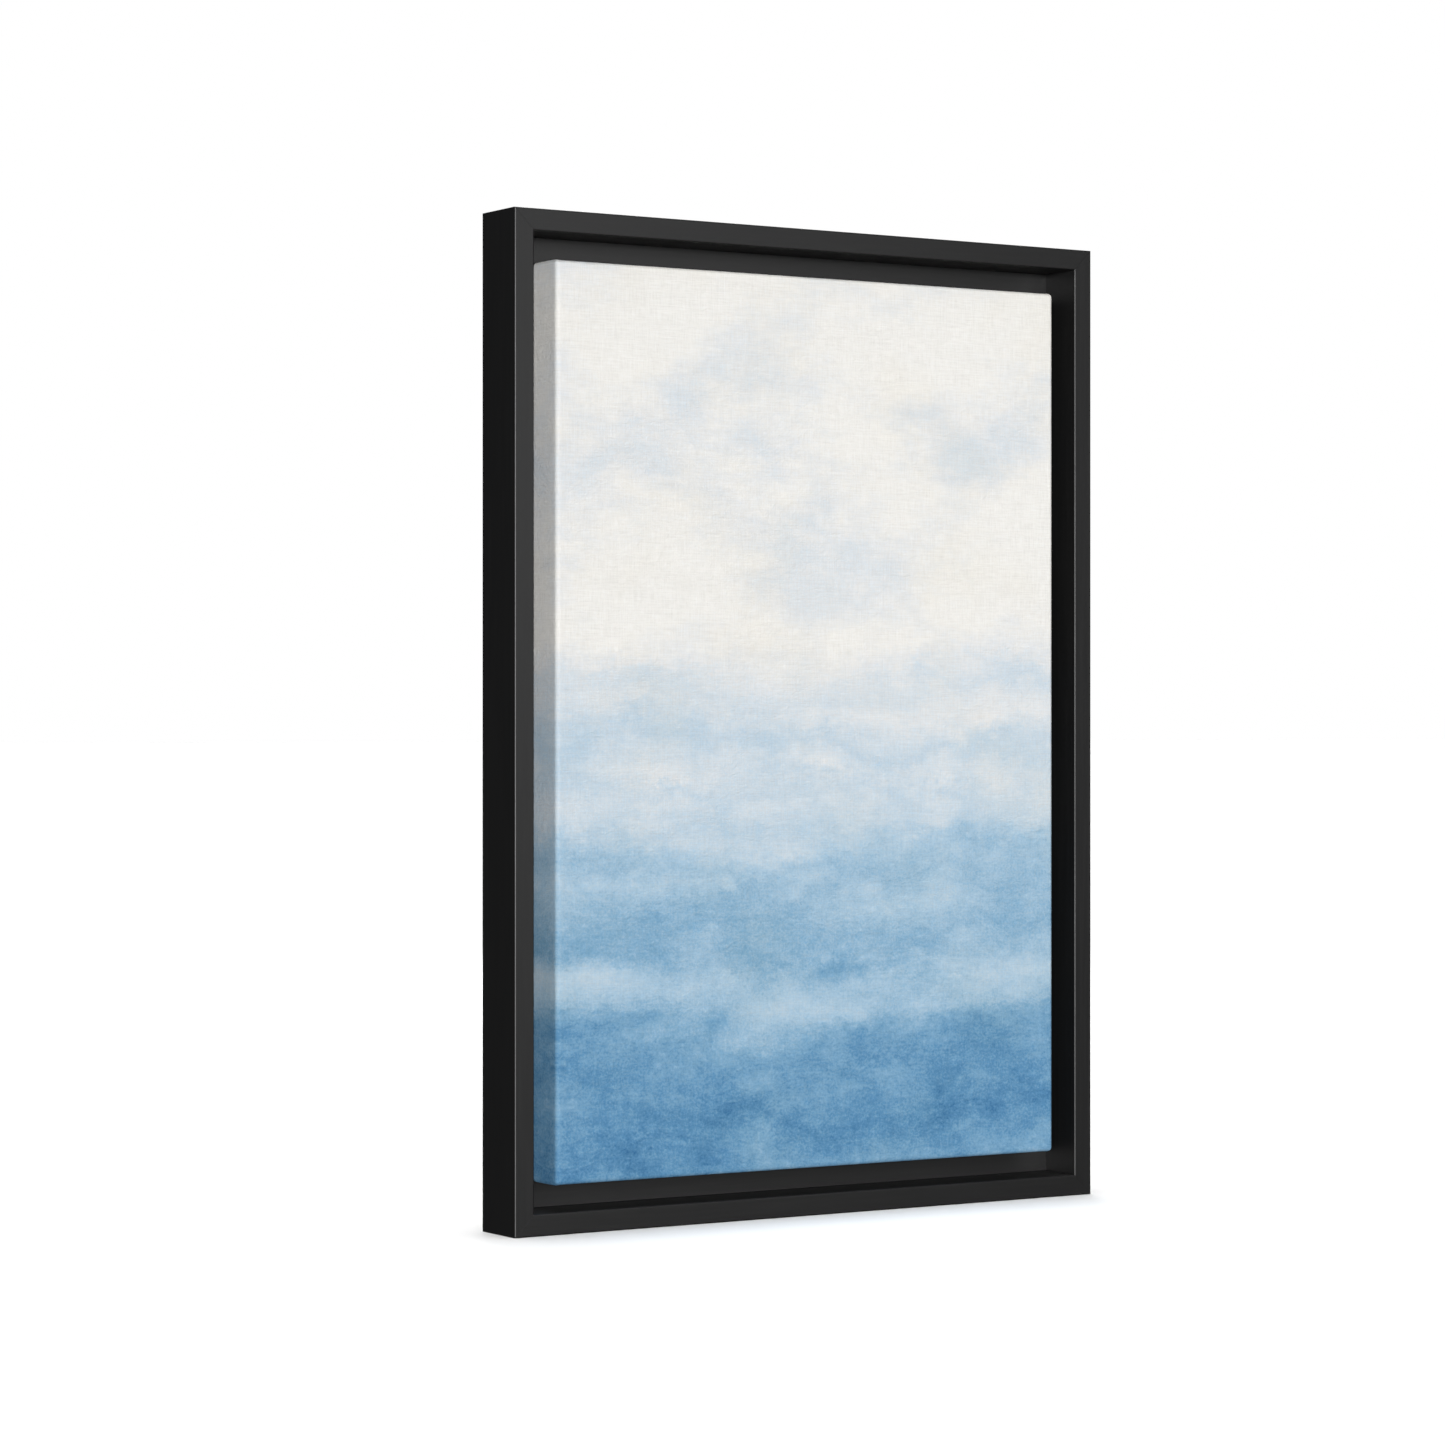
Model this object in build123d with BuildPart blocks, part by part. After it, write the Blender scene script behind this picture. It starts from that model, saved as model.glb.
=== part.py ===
from build123d import *
import math
import os

# Gallery-wrapped stretched canvas held in an L-section floater frame.
# Frame of reference: picture faces -Y, +X is the viewer's right, +Z is up.
# Origin: middle of the width and of the depth, at the underside of the bottom rail.

# ---------------------------------------------------------------- driving dimensions (mm)
BARS_W = 406.4          # outer width of the stretcher, 16 in
BARS_H = 609.6          # outer height of the stretcher, 24 in
BAR_DEPTH = 31.75       # stretcher bar depth, 1 1/4 in
BAR_WIDTH = 38.0        # stretcher bar width, 1 1/2 in
BAR_BEAD = 6.0          # flat width of the raised outer bead under the cloth
BAR_SLOPE = 4.0         # how far the bar's face falls away from the cloth at its inner edge
BAR_EDGE_R = 2.7        # rounding of the bead's outer edge
CLOTH_T = 0.5           # primed cotton canvas
CLOTH_EDGE_R = 3.0      # outside rounding of the wrapped edge
CLOTH_CORNER_R = 3.5    # outside rounding of the four upright corners
CLOTH_BACK_R = 1.2      # outside rounding at the back fold
FOLD_W = 30.0           # width of the fold on the back of the bars

LIP_W = 14.5            # width of the frame's front lip
FLOAT_GAP = 18.0        # gap between the canvas and the lip
FRAME_DEPTH = 44.45     # frame depth, 1 3/4 in
FOOT_T = 10.0           # thickness of the foot that carries the canvas
FOOT_REACH = 50.0       # width of the frame's back, outer edge to the foot's inner edge
FRAME_ARRIS = 0.9       # rounding of the moulding's long edges
BUMPER_D = 11.1
BUMPER_H = 5.1

TONGUE_T = 5.0          # thickness of each tongue in the stretcher's corner joints
TONGUE_Y = 10.5         # depth of the first tongue behind the bar's front
TONGUE_SETBACK = 1.0    # tongues end short of the outer edge
KEY_SLOT = 7.0          # width of the slot beside a tongue that takes a key
KEY_T = 4.6
KEY_IN = 28.0           # length of a key inside its slot
KEY_OUT = 12.0          # length of a key that stands out of its slot
KEY_TIP_W = 3.0
KEY_END_W = 8.4

STAPLE_CROWN = 11.0
STAPLE_WIRE_W = 1.2
STAPLE_WIRE_T = 0.6
STAPLE_LEG = 8.0
STAPLE_INSET = 24.0     # staple line, inward from the canvas edge

SCREW_INSET = 41.0      # mounting screws, inward from the frame's outer edge
SCREW_D = 4.2
SCREW_HEAD_D = 8.0
SCREW_L = 25.0
SCREW_X = 120.0         # screws in the top and bottom rails, each side of the middle
SCREW_Z = 200.0         # screws in the side rails, above and below mid-height

NAIL_LEG = 9.0
NAIL_T = 0.6
NAIL_DEPTH = 7.0
NAIL_PROUD = 0.15

STRAP_L = 28.0
STRAP_W = 14.0
STRAP_T = 1.5
KNUCKLE_L = 12.0
RING_WIRE_D = 2.5
RING_CLEARANCE = 0.15
RING_HALF_W = 10.0      # hinge leg's middle to the centre of a side wire
RING_REACH = 17.0       # hinge axis to the centre of the wire at the far end
RING_BEND_R = 2.5
HANGER_INSET = 44.0     # hinge axis, inward from the frame's outer edge
HANGER_Z = 490.0
HANGER_SCREW_D = 3.5
HANGER_SCREW_HEAD_D = 6.4
HANGER_SCREW_HEAD_H = 2.2
HANGER_SCREW_L = 9.0
HANGER_SCREW_X = (10.0, 22.0)   # outward from the hinge axis

# ---------------------------------------------------------------- derived positions
CANVAS_W = BARS_W + 2 * CLOTH_T
CANVAS_H = BARS_H + 2 * CLOTH_T
CANVAS_DEPTH = BAR_DEPTH + 2 * CLOTH_T
BORDER = LIP_W + FLOAT_GAP
FRAME_W = CANVAS_W + 2 * BORDER
FRAME_H = CANVAS_H + 2 * BORDER
MID_Z = FRAME_H / 2

Y_LIP = -(FRAME_DEPTH + BUMPER_H) / 2          # front of the lip
Y_BACK = Y_LIP + FRAME_DEPTH                   # back of the frame
Y_LEDGE = Y_BACK - FOOT_T                      # front of the foot
Y_CANVAS = Y_LEDGE - CANVAS_DEPTH              # face of the canvas
Y_BARS = Y_CANVAS + CLOTH_T                    # front of the bars
Y_BARS_BACK = Y_BARS + BAR_DEPTH
Y_SECTION = (Y_LIP + Y_BACK) / 2

X_BAR = -BARS_W / 2                            # outer edge of the left bar
Z_BAR_TOP = MID_Z + BARS_H / 2
Z_BAR_BOTTOM = MID_Z - BARS_H / 2
Y_TONGUE_SIDE = Y_BARS + TONGUE_Y              # tongues of the side bars
Y_TONGUE_ENDS = Y_TONGUE_SIDE + TONGUE_T       # tongues of the top and bottom bars
Y_TONGUE_LAST = Y_TONGUE_ENDS + TONGUE_T

# The back of the frame seen from behind: local x runs towards -X, local y up, local z out of the back.
BACK = Plane(origin=(0, Y_BACK, 0), x_dir=(-1, 0, 0), z_dir=(0, 1, 0))
# The back of the canvas fold, seen the same way.
FOLD_BACK = Plane(origin=(0, Y_LEDGE, 0), x_dir=(-1, 0, 0), z_dir=(0, 1, 0))

os.makedirs("parts", exist_ok=True)


def xz(y):
    """Plane across the depth at y, local x along +X, local y up."""
    return Plane(origin=(0, y, 0), x_dir=(1, 0, 0), z_dir=(0, -1, 0))


def on(plane, x, z, turn=0.0):
    """Place on a back-facing plane at the object's own x and z."""
    return plane.location * Location((-x, z, 0), (0, 0, turn))


# ---------------------------------------------------------------- frame rails
side_screws = [(-FRAME_W / 2 + SCREW_INSET, MID_Z + s * SCREW_Z) for s in (-1, 1)]
bottom_screws = [(s * SCREW_X, SCREW_INSET) for s in (-1, 1)]

with BuildPart() as frame_rail_left:
    # L-section: lip wall and foot
    with BuildSketch(Plane.XY) as left_section:
        with BuildLine():
            x0 = -FRAME_W / 2
            Polyline(
                (x0, Y_LIP),
                (x0 + LIP_W, Y_LIP),
                (x0 + LIP_W, Y_LEDGE),
                (x0 + FOOT_REACH, Y_LEDGE),
                (x0 + FOOT_REACH, Y_BACK),
                (x0, Y_BACK),
                close=True,
            )
        make_face()
        arrises = [v for v in left_section.vertices() if not (abs(v.X - x0 - LIP_W) < 0.01 and abs(v.Y - Y_LEDGE) < 0.01)]
        fillet(arrises, FRAME_ARRIS)
    extrude(amount=FRAME_H)
    # mitred ends
    with BuildSketch(xz(Y_SECTION)):
        with BuildLine():
            Polyline(
                (x0, 0),
                (x0 + FOOT_REACH, FOOT_REACH),
                (x0 + FOOT_REACH, FRAME_H - FOOT_REACH),
                (x0, FRAME_H),
                close=True,
            )
        make_face()
    extrude(amount=FRAME_DEPTH, both=True, mode=Mode.INTERSECT)
    with Locations(*[on(BACK, x, z) for x, z in side_screws]):
        CounterSinkHole(radius=SCREW_D / 2 + 0.15, counter_sink_radius=SCREW_HEAD_D / 2 + 0.6, depth=FOOT_T + 1, counter_sink_angle=82)

with BuildPart() as frame_rail_right:
    add(frame_rail_left.part)
    mirror(about=Plane.YZ, mode=Mode.REPLACE)

with BuildPart() as frame_rail_bottom:
    with BuildSketch(Plane.YZ) as bottom_section:
        with BuildLine():
            Polyline(
                (Y_LIP, 0),
                (Y_LIP, LIP_W),
                (Y_LEDGE, LIP_W),
                (Y_LEDGE, FOOT_REACH),
                (Y_BACK, FOOT_REACH),
                (Y_BACK, 0),
                close=True,
            )
        make_face()
        arrises = [v for v in bottom_section.vertices() if not (abs(v.Y - Y_LEDGE) < 0.01 and abs(v.Z - LIP_W) < 0.01)]
        fillet(arrises, FRAME_ARRIS)
    extrude(amount=FRAME_W / 2, both=True)
    with BuildSketch(xz(Y_SECTION)):
        with BuildLine():
            Polyline(
                (-FRAME_W / 2, 0),
                (-FRAME_W / 2 + FOOT_REACH, FOOT_REACH),
                (FRAME_W / 2 - FOOT_REACH, FOOT_REACH),
                (FRAME_W / 2, 0),
                close=True,
            )
        make_face()
    extrude(amount=FRAME_DEPTH, both=True, mode=Mode.INTERSECT)
    with Locations(*[on(BACK, x, z) for x, z in bottom_screws]):
        CounterSinkHole(radius=SCREW_D / 2 + 0.15, counter_sink_radius=SCREW_HEAD_D / 2 + 0.6, depth=FOOT_T + 1, counter_sink_angle=82)

with BuildPart() as frame_rail_top:
    add(frame_rail_bottom.part)
    mirror(about=Plane.XY.offset(MID_Z), mode=Mode.REPLACE)

# ---------------------------------------------------------------- canvas cloth
# Space inside the wrapped cloth
with BuildPart() as cloth_inside:
    with BuildSketch(xz(Y_BARS)):
        with Locations((0, MID_Z)):
            RectangleRounded(BARS_W, BARS_H, CLOTH_CORNER_R - CLOTH_T)
    extrude(amount=-BAR_DEPTH)
    fillet(cloth_inside.faces().sort_by(Axis.Y)[0].edges(), CLOTH_EDGE_R - CLOTH_T)

# One sheet: face, four wrapped sides and the fold on the back
with BuildPart() as canvas_cloth:
    with BuildSketch(xz(Y_CANVAS)):
        with Locations((0, MID_Z)):
            RectangleRounded(CANVAS_W, CANVAS_H, CLOTH_CORNER_R)
    extrude(amount=-CANVAS_DEPTH)
    fillet(canvas_cloth.faces().sort_by(Axis.Y)[0].edges(), CLOTH_EDGE_R)
    fillet(canvas_cloth.faces().sort_by(Axis.Y)[-1].edges(), CLOTH_BACK_R)
    add(cloth_inside.part, mode=Mode.SUBTRACT)
    with BuildSketch(xz(Y_BARS_BACK - 1)):
        with Locations((0, MID_Z)):
            Rectangle(CANVAS_W - 2 * FOLD_W, CANVAS_H - 2 * FOLD_W)
    extrude(amount=-5, mode=Mode.SUBTRACT)

# ---------------------------------------------------------------- stretcher bars
# Outline that all four bars share, rounded where the cloth turns over them
with BuildPart() as bar_envelope:
    with BuildSketch(xz(Y_BARS)):
        with Locations((0, MID_Z)):
            RectangleRounded(BARS_W, BARS_H, CLOTH_CORNER_R - CLOTH_T + 0.3)
    extrude(amount=-BAR_DEPTH)
    fillet(bar_envelope.faces().sort_by(Axis.Y)[0].edges(), BAR_EDGE_R)
    fillet(bar_envelope.faces().sort_by(Axis.Y)[-1].edges(), CLOTH_BACK_R - CLOTH_T + 0.3)

with BuildPart() as stretcher_bar_left:
    with BuildSketch(Plane.XY) as left_bar_section:
        with BuildLine():
            Polyline(
                (X_BAR, Y_BARS),
                (X_BAR + BAR_BEAD, Y_BARS),
                (X_BAR + BAR_WIDTH, Y_BARS + BAR_SLOPE),
                (X_BAR + BAR_WIDTH, Y_BARS_BACK),
                (X_BAR, Y_BARS_BACK),
                close=True,
            )
        make_face()
        fillet([v for v in left_bar_section.vertices() if abs(v.X - X_BAR - BAR_WIDTH) < 0.01], 1.5)
    extrude(amount=Z_BAR_TOP)
    with BuildSketch(xz(Y_BARS - 5)):
        with Locations((0, MID_Z)):
            Rectangle(BARS_W, BARS_H)
    extrude(amount=-BAR_DEPTH - 10, mode=Mode.INTERSECT)
    for top in (True, False):
        edge = Z_BAR_TOP if top else Z_BAR_BOTTOM
        s = -1 if top else 1
        # mitre on the front and back thirds
        for y_from, y_to in ((Y_BARS - 1, Y_TONGUE_SIDE), (Y_TONGUE_LAST, Y_BARS_BACK + 1)):
            with BuildSketch(xz(y_from)):
                with BuildLine():
                    Polyline(
                        (X_BAR, edge),
                        (X_BAR + BAR_WIDTH, edge + s * BAR_WIDTH),
                        (X_BAR + BAR_WIDTH + 1, edge + s * BAR_WIDTH),
                        (X_BAR + BAR_WIDTH + 1, edge - s * 1),
                        (X_BAR, edge - s * 1),
                        close=True,
                    )
                make_face()
            extrude(amount=-(y_to - y_from), mode=Mode.SUBTRACT)
        # slot for the other bar's tongue and for its key
        with BuildSketch(xz(Y_TONGUE_ENDS)):
            with Locations((X_BAR + BAR_WIDTH / 2, edge + s * (BAR_WIDTH + KEY_SLOT) / 2)):
                Rectangle(BAR_WIDTH + 2, BAR_WIDTH + KEY_SLOT)
        extrude(amount=-TONGUE_T, mode=Mode.SUBTRACT)
        # this bar's tongue ends short of the outer edge
        with BuildSketch(xz(Y_TONGUE_SIDE)):
            with Locations((X_BAR + BAR_WIDTH / 2, edge + s * TONGUE_SETBACK / 2)):
                Rectangle(BAR_WIDTH + 2, TONGUE_SETBACK)
        extrude(amount=-TONGUE_T, mode=Mode.SUBTRACT)
    add(bar_envelope.part, mode=Mode.INTERSECT)

with BuildPart() as stretcher_bar_right:
    add(stretcher_bar_left.part)
    mirror(about=Plane.YZ, mode=Mode.REPLACE)

with BuildPart() as stretcher_bar_bottom:
    with BuildSketch(Plane.YZ) as bottom_bar_section:
        with BuildLine():
            Polyline(
                (Y_BARS, Z_BAR_BOTTOM),
                (Y_BARS, Z_BAR_BOTTOM + BAR_BEAD),
                (Y_BARS + BAR_SLOPE, Z_BAR_BOTTOM + BAR_WIDTH),
                (Y_BARS_BACK, Z_BAR_BOTTOM + BAR_WIDTH),
                (Y_BARS_BACK, Z_BAR_BOTTOM),
                close=True,
            )
        make_face()
        fillet([v for v in bottom_bar_section.vertices() if abs(v.Z - Z_BAR_BOTTOM - BAR_WIDTH) < 0.01], 1.5)
    extrude(amount=BARS_W / 2, both=True)
    for s in (-1, 1):
        # mitre on the front and back thirds
        for y_from, y_to in ((Y_BARS - 1, Y_TONGUE_SIDE), (Y_TONGUE_LAST, Y_BARS_BACK + 1)):
            with BuildSketch(xz(y_from)):
                with BuildLine():
                    Polyline(
                        (s * BARS_W / 2, Z_BAR_BOTTOM),
                        (s * (BARS_W / 2 - BAR_WIDTH), Z_BAR_BOTTOM + BAR_WIDTH),
                        (s * (BARS_W / 2 - BAR_WIDTH), Z_BAR_BOTTOM + BAR_WIDTH + 1),
                        (s * (BARS_W / 2 + 1), Z_BAR_BOTTOM + BAR_WIDTH + 1),
                        (s * (BARS_W / 2 + 1), Z_BAR_BOTTOM),
                        close=True,
                    )
                make_face()
            extrude(amount=-(y_to - y_from), mode=Mode.SUBTRACT)
        # slot for the side bar's tongue and for its key
        with BuildSketch(xz(Y_TONGUE_SIDE)):
            with Locations((s * (BARS_W / 2 - (BAR_WIDTH + KEY_SLOT) / 2), Z_BAR_BOTTOM + BAR_WIDTH / 2)):
                Rectangle(BAR_WIDTH + KEY_SLOT, BAR_WIDTH + 2)
        extrude(amount=-TONGUE_T, mode=Mode.SUBTRACT)
        # this bar's tongue ends short of the outer edge
        with BuildSketch(xz(Y_TONGUE_ENDS)):
            with Locations((s * (BARS_W / 2 - TONGUE_SETBACK / 2), Z_BAR_BOTTOM + BAR_WIDTH / 2)):
                Rectangle(TONGUE_SETBACK, BAR_WIDTH + 2)
        extrude(amount=-TONGUE_T, mode=Mode.SUBTRACT)
    add(bar_envelope.part, mode=Mode.INTERSECT)

with BuildPart() as stretcher_bar_top:
    add(stretcher_bar_bottom.part)
    mirror(about=Plane.XY.offset(MID_Z), mode=Mode.REPLACE)

# ---------------------------------------------------------------- stretcher keys
# Two thin wedges in each inner corner, each lying along one bar with its tip in the slot of the other
with BuildPart() as stretcher_keys:
    for sx in (-1, 1):
        for sz in (-1, 1):
            x_in = sx * (BARS_W / 2 - BAR_WIDTH)
            z_in = MID_Z + sz * (BARS_H / 2 - BAR_WIDTH)
            with BuildSketch(xz(Y_TONGUE_SIDE + (TONGUE_T - KEY_T) / 2)):
                with BuildLine():
                    Polyline(
                        (x_in, z_in - sz * KEY_OUT),
                        (x_in - sx * KEY_END_W, z_in - sz * KEY_OUT),
                        (x_in - sx * (KEY_SLOT - 0.1), z_in),
                        (x_in - sx * KEY_TIP_W, z_in + sz * KEY_IN),
                        (x_in, z_in + sz * KEY_IN),
                        close=True,
                    )
                make_face()
            extrude(amount=-KEY_T)
            with BuildSketch(xz(Y_TONGUE_ENDS + (TONGUE_T - KEY_T) / 2)):
                with BuildLine():
                    Polyline(
                        (x_in - sx * KEY_OUT, z_in),
                        (x_in - sx * KEY_OUT, z_in - sz * KEY_END_W),
                        (x_in, z_in - sz * (KEY_SLOT - 0.1)),
                        (x_in + sx * KEY_IN, z_in - sz * KEY_TIP_W),
                        (x_in + sx * KEY_IN, z_in),
                        close=True,
                    )
                make_face()
            extrude(amount=-KEY_T)

# ---------------------------------------------------------------- staples
with BuildPart() as one_staple:
    # crown lies on the cloth, legs go into the bar
    with BuildSketch(Plane.XZ):
        with BuildLine():
            h = STAPLE_CROWN / 2
            Polyline(
                (-h, STAPLE_WIRE_T),
                (h, STAPLE_WIRE_T),
                (h, -STAPLE_LEG),
                (h - STAPLE_WIRE_T, -STAPLE_LEG - 0.8),
                (h - STAPLE_WIRE_T, 0),
                (-h + STAPLE_WIRE_T, 0),
                (-h + STAPLE_WIRE_T, -STAPLE_LEG - 0.8),
                (-h, -STAPLE_LEG),
                close=True,
            )
        make_face()
    extrude(amount=STAPLE_WIRE_W / 2, both=True)
    fillet(one_staple.edges().filter_by(Axis.Y).group_by(Axis.Z)[-1], 0.4)

staple_places = []
side_line = CANVAS_W / 2 - STAPLE_INSET
end_line = CANVAS_H / 2 - STAPLE_INSET
for i in range(9):
    z = MID_Z + (i - 4) * 62.0
    for s in (-1, 1):
        lean = ((i * 7 + (3 if s > 0 else 0)) % 5 - 2) * 3.0
        staple_places.append((s * side_line, z + ((i * 5) % 3 - 1) * 1.5, 90 + lean))
for i in range(6):
    x = (i - 2.5) * 56.0
    for s in (-1, 1):
        lean = ((i * 3 + (2 if s > 0 else 0)) % 5 - 2) * 3.0
        staple_places.append((x + ((i * 4) % 3 - 1) * 1.5, MID_Z + s * end_line, lean))
# one across each folded corner
for sx in (-1, 1):
    for sz in (-1, 1):
        staple_places.append((sx * (side_line - 1.0), MID_Z + sz * (end_line - 1.0), -45 * sx * sz))

with BuildPart() as canvas_staples:
    with Locations(*[on(FOLD_BACK, x, z, turn) for x, z, turn in staple_places]):
        add(one_staple.part)

# ---------------------------------------------------------------- frame V-nails
with BuildPart() as one_v_nail:
    # V of thin strip, point of the V on the mitre line, driven flush from the back
    with BuildSketch(Plane.XY.offset(NAIL_PROUD)):
        with BuildLine():
            c = NAIL_LEG * math.cos(math.radians(45))
            k = NAIL_T * math.sqrt(2)
            Polyline((0, 0), (c, c), (c + k / 2, c - k / 2), (0, -k), (-c - k / 2, c - k / 2), (-c, c), close=True)
        make_face()
    extrude(amount=-NAIL_DEPTH)

v_places = []
for sx in (-1, 1):
    for sz in (-1, 1):
        for inset in (10.0, 30.0):
            x = sx * (FRAME_W / 2 - inset)
            z = inset if sz < 0 else FRAME_H - inset
            # the V opens towards the outer corner
            opens = math.degrees(math.atan2(sz, -sx)) - 90
            v_places.append((x, z, opens))

with BuildPart() as frame_v_nails:
    with Locations(*[on(BACK, x, z, turn) for x, z, turn in v_places]):
        add(one_v_nail.part)

# ---------------------------------------------------------------- mounting screws
with BuildPart() as one_mounting_screw:
    with BuildSketch(Plane.XZ):
        with BuildLine():
            r, hr = SCREW_D / 2, SCREW_HEAD_D / 2
            csk = (hr - r) / math.tan(math.radians(41))
            Polyline(
                (0, -0.25),
                (hr, -0.25),
                (hr, -0.55),
                (r, -0.55 - csk),
                (r, -SCREW_L + 4),
                (0, -SCREW_L),
                close=True,
            )
        make_face()
    revolve(axis=Axis.Z)
    # cross recess
    for turn in (45, 135):
        with BuildSketch(Plane.XY):
            Rectangle(4.4, 0.9, rotation=turn)
        extrude(amount=-1.9, mode=Mode.SUBTRACT)

screw_places = [(x, z) for x, z in side_screws] + [(-x, z) for x, z in side_screws]
screw_places += bottom_screws + [(x, FRAME_H - z) for x, z in bottom_screws]
with BuildPart() as mounting_screws:
    with Locations(*[on(BACK, x, z) for x, z in screw_places]):
        add(one_mounting_screw.part)

# ---------------------------------------------------------------- D-ring hangers
X_HINGE = -FRAME_W / 2 + HANGER_INSET
KNUCKLE_R = RING_WIRE_D / 2 + RING_CLEARANCE + 1.15
Y_HINGE = Y_BACK + KNUCKLE_R
hanger_screw_x = [X_HINGE - d for d in HANGER_SCREW_X]

with BuildPart() as hanger_strap_left:
    # plate, rounded at its far end
    with BuildSketch(xz(Y_BACK)):
        with Locations((X_HINGE - STRAP_L / 2, HANGER_Z)):
            Rectangle(STRAP_L, STRAP_W)
    extrude(amount=-STRAP_T)
    fillet(hanger_strap_left.edges().filter_by(Axis.Y).group_by(Axis.X)[0], 5.0)
    fillet(hanger_strap_left.edges().filter_by(Axis.Y).group_by(Axis.X)[-1], 1.0)
    # knuckle rolled round the ring's straight leg
    with BuildSketch(Plane.XY.offset(HANGER_Z)):
        with Locations((X_HINGE, Y_HINGE)):
            Circle(KNUCKLE_R)
        with Locations((X_HINGE - KNUCKLE_R / 2, Y_BACK + STRAP_T / 2)):
            Rectangle(KNUCKLE_R, STRAP_T)
    extrude(amount=KNUCKLE_L / 2, both=True)
    with BuildSketch(Plane.XY.offset(HANGER_Z)):
        with Locations((X_HINGE, Y_HINGE)):
            Circle(RING_WIRE_D / 2 + RING_CLEARANCE)
    extrude(amount=KNUCKLE_L, both=True, mode=Mode.SUBTRACT)
    with Locations(*[on(Plane(origin=(0, Y_BACK + STRAP_T, 0), x_dir=(-1, 0, 0), z_dir=(0, 1, 0)), x, HANGER_Z) for x in hanger_screw_x]):
        Hole(radius=HANGER_SCREW_D / 2 + 0.25, depth=STRAP_T + 1)

with BuildPart() as hanger_strap_right:
    add(hanger_strap_left.part)
    mirror(about=Plane.YZ, mode=Mode.REPLACE)

with BuildPart() as hanger_ring_left:
    # D of round wire, lying flat and pointing inward
    with BuildLine(Plane(origin=(X_HINGE, Y_HINGE, HANGER_Z), x_dir=(1, 0, 0), z_dir=(0, -1, 0))) as ring_path:
        b, w = RING_BEND_R, RING_HALF_W
        xc = RING_REACH - w
        Line((0, 0), (0, w - b))
        CenterArc((b, w - b), b, 180, -90)
        Line((b, w), (xc, w))
        CenterArc((xc, 0), w, 90, -180)
        Line((xc, -w), (b, -w))
        CenterArc((b, -w + b), b, 270, -90)
        Line((0, -w + b), (0, 0))
    with BuildSketch(Plane(origin=(X_HINGE, Y_HINGE, HANGER_Z), z_dir=(0, 0, 1))):
        Circle(RING_WIRE_D / 2)
    sweep(path=ring_path.wires()[0])

with BuildPart() as hanger_ring_right:
    add(hanger_ring_left.part)
    mirror(about=Plane.YZ, mode=Mode.REPLACE)

with BuildPart() as one_hanger_screw:
    with BuildSketch(Plane.XZ):
        with BuildLine():
            r, hr, hh = HANGER_SCREW_D / 2, HANGER_SCREW_HEAD_D / 2, HANGER_SCREW_HEAD_H
            l1 = Line((0, hh), (hr * 0.45, hh))
            l2 = Spline((hr * 0.45, hh), (hr * 0.85, hh * 0.72), (hr, hh * 0.25), tangents=((1, 0), (0, -1)))
            Polyline((hr, hh * 0.25), (hr, 0), (r, 0), (r, -STRAP_T - HANGER_SCREW_L + 3), (0, -STRAP_T - HANGER_SCREW_L), (0, hh))
        make_face()
    revolve(axis=Axis.Z)
    for turn in (20, 110):
        with BuildSketch(Plane.XY.offset(hh + 0.1)):
            Rectangle(3.6, 0.8, rotation=turn)
        extrude(amount=-1.5, mode=Mode.SUBTRACT)

strap_back = Plane(origin=(0, Y_BACK + STRAP_T, 0), x_dir=(-1, 0, 0), z_dir=(0, 1, 0))
with BuildPart() as hanger_screws_left:
    with Locations(*[on(strap_back, x, HANGER_Z) for x in hanger_screw_x]):
        add(one_hanger_screw.part)

with BuildPart() as hanger_screws_right:
    with Locations(*[on(strap_back, -x, HANGER_Z) for x in hanger_screw_x]):
        add(one_hanger_screw.part)

# ---------------------------------------------------------------- wall bumpers
bumper_x = FRAME_W / 2 - 18.0
bumper_z = 18.0
with BuildPart() as wall_bumper_left:
    with BuildSketch(Plane(origin=(-bumper_x, Y_BACK, bumper_z), x_dir=(1, 0, 0), z_dir=(0, 0, 1))):
        with BuildLine():
            rb = BUMPER_D / 2
            Line((0, 0), (rb, 0))
            Line((rb, 0), (rb, 0.8))
            Spline((rb, 0.8), (rb * 0.72, BUMPER_H * 0.78), (0, BUMPER_H), tangents=((0, 1), (-1, 0)))
            Line((0, BUMPER_H), (0, 0))
        make_face()
    revolve(axis=Axis((-bumper_x, Y_BACK, bumper_z), (0, 1, 0)))

with BuildPart() as wall_bumper_right:
    add(wall_bumper_left.part)
    mirror(about=Plane.YZ, mode=Mode.REPLACE)

# ---------------------------------------------------------------- labels and export
for label, piece in {
    "frame_rail_top": frame_rail_top,
    "frame_rail_bottom": frame_rail_bottom,
    "frame_rail_left": frame_rail_left,
    "frame_rail_right": frame_rail_right,
    "canvas_cloth": canvas_cloth,
    "stretcher_bar_top": stretcher_bar_top,
    "stretcher_bar_bottom": stretcher_bar_bottom,
    "stretcher_bar_left": stretcher_bar_left,
    "stretcher_bar_right": stretcher_bar_right,
    "stretcher_keys": stretcher_keys,
    "canvas_staples": canvas_staples,
    "frame_v_nails": frame_v_nails,
    "mounting_screws": mounting_screws,
    "hanger_strap_left": hanger_strap_left,
    "hanger_strap_right": hanger_strap_right,
    "hanger_ring_left": hanger_ring_left,
    "hanger_ring_right": hanger_ring_right,
    "hanger_screws_left": hanger_screws_left,
    "hanger_screws_right": hanger_screws_right,
    "wall_bumper_left": wall_bumper_left,
    "wall_bumper_right": wall_bumper_right,
}.items():
    piece.part.label = label
    export_step(piece.part, f"parts/{label}.step")
    print(label, len(piece.part.solids()), round(piece.part.volume, 1), piece.part.bounding_box())
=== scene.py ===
import math
import random

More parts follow.
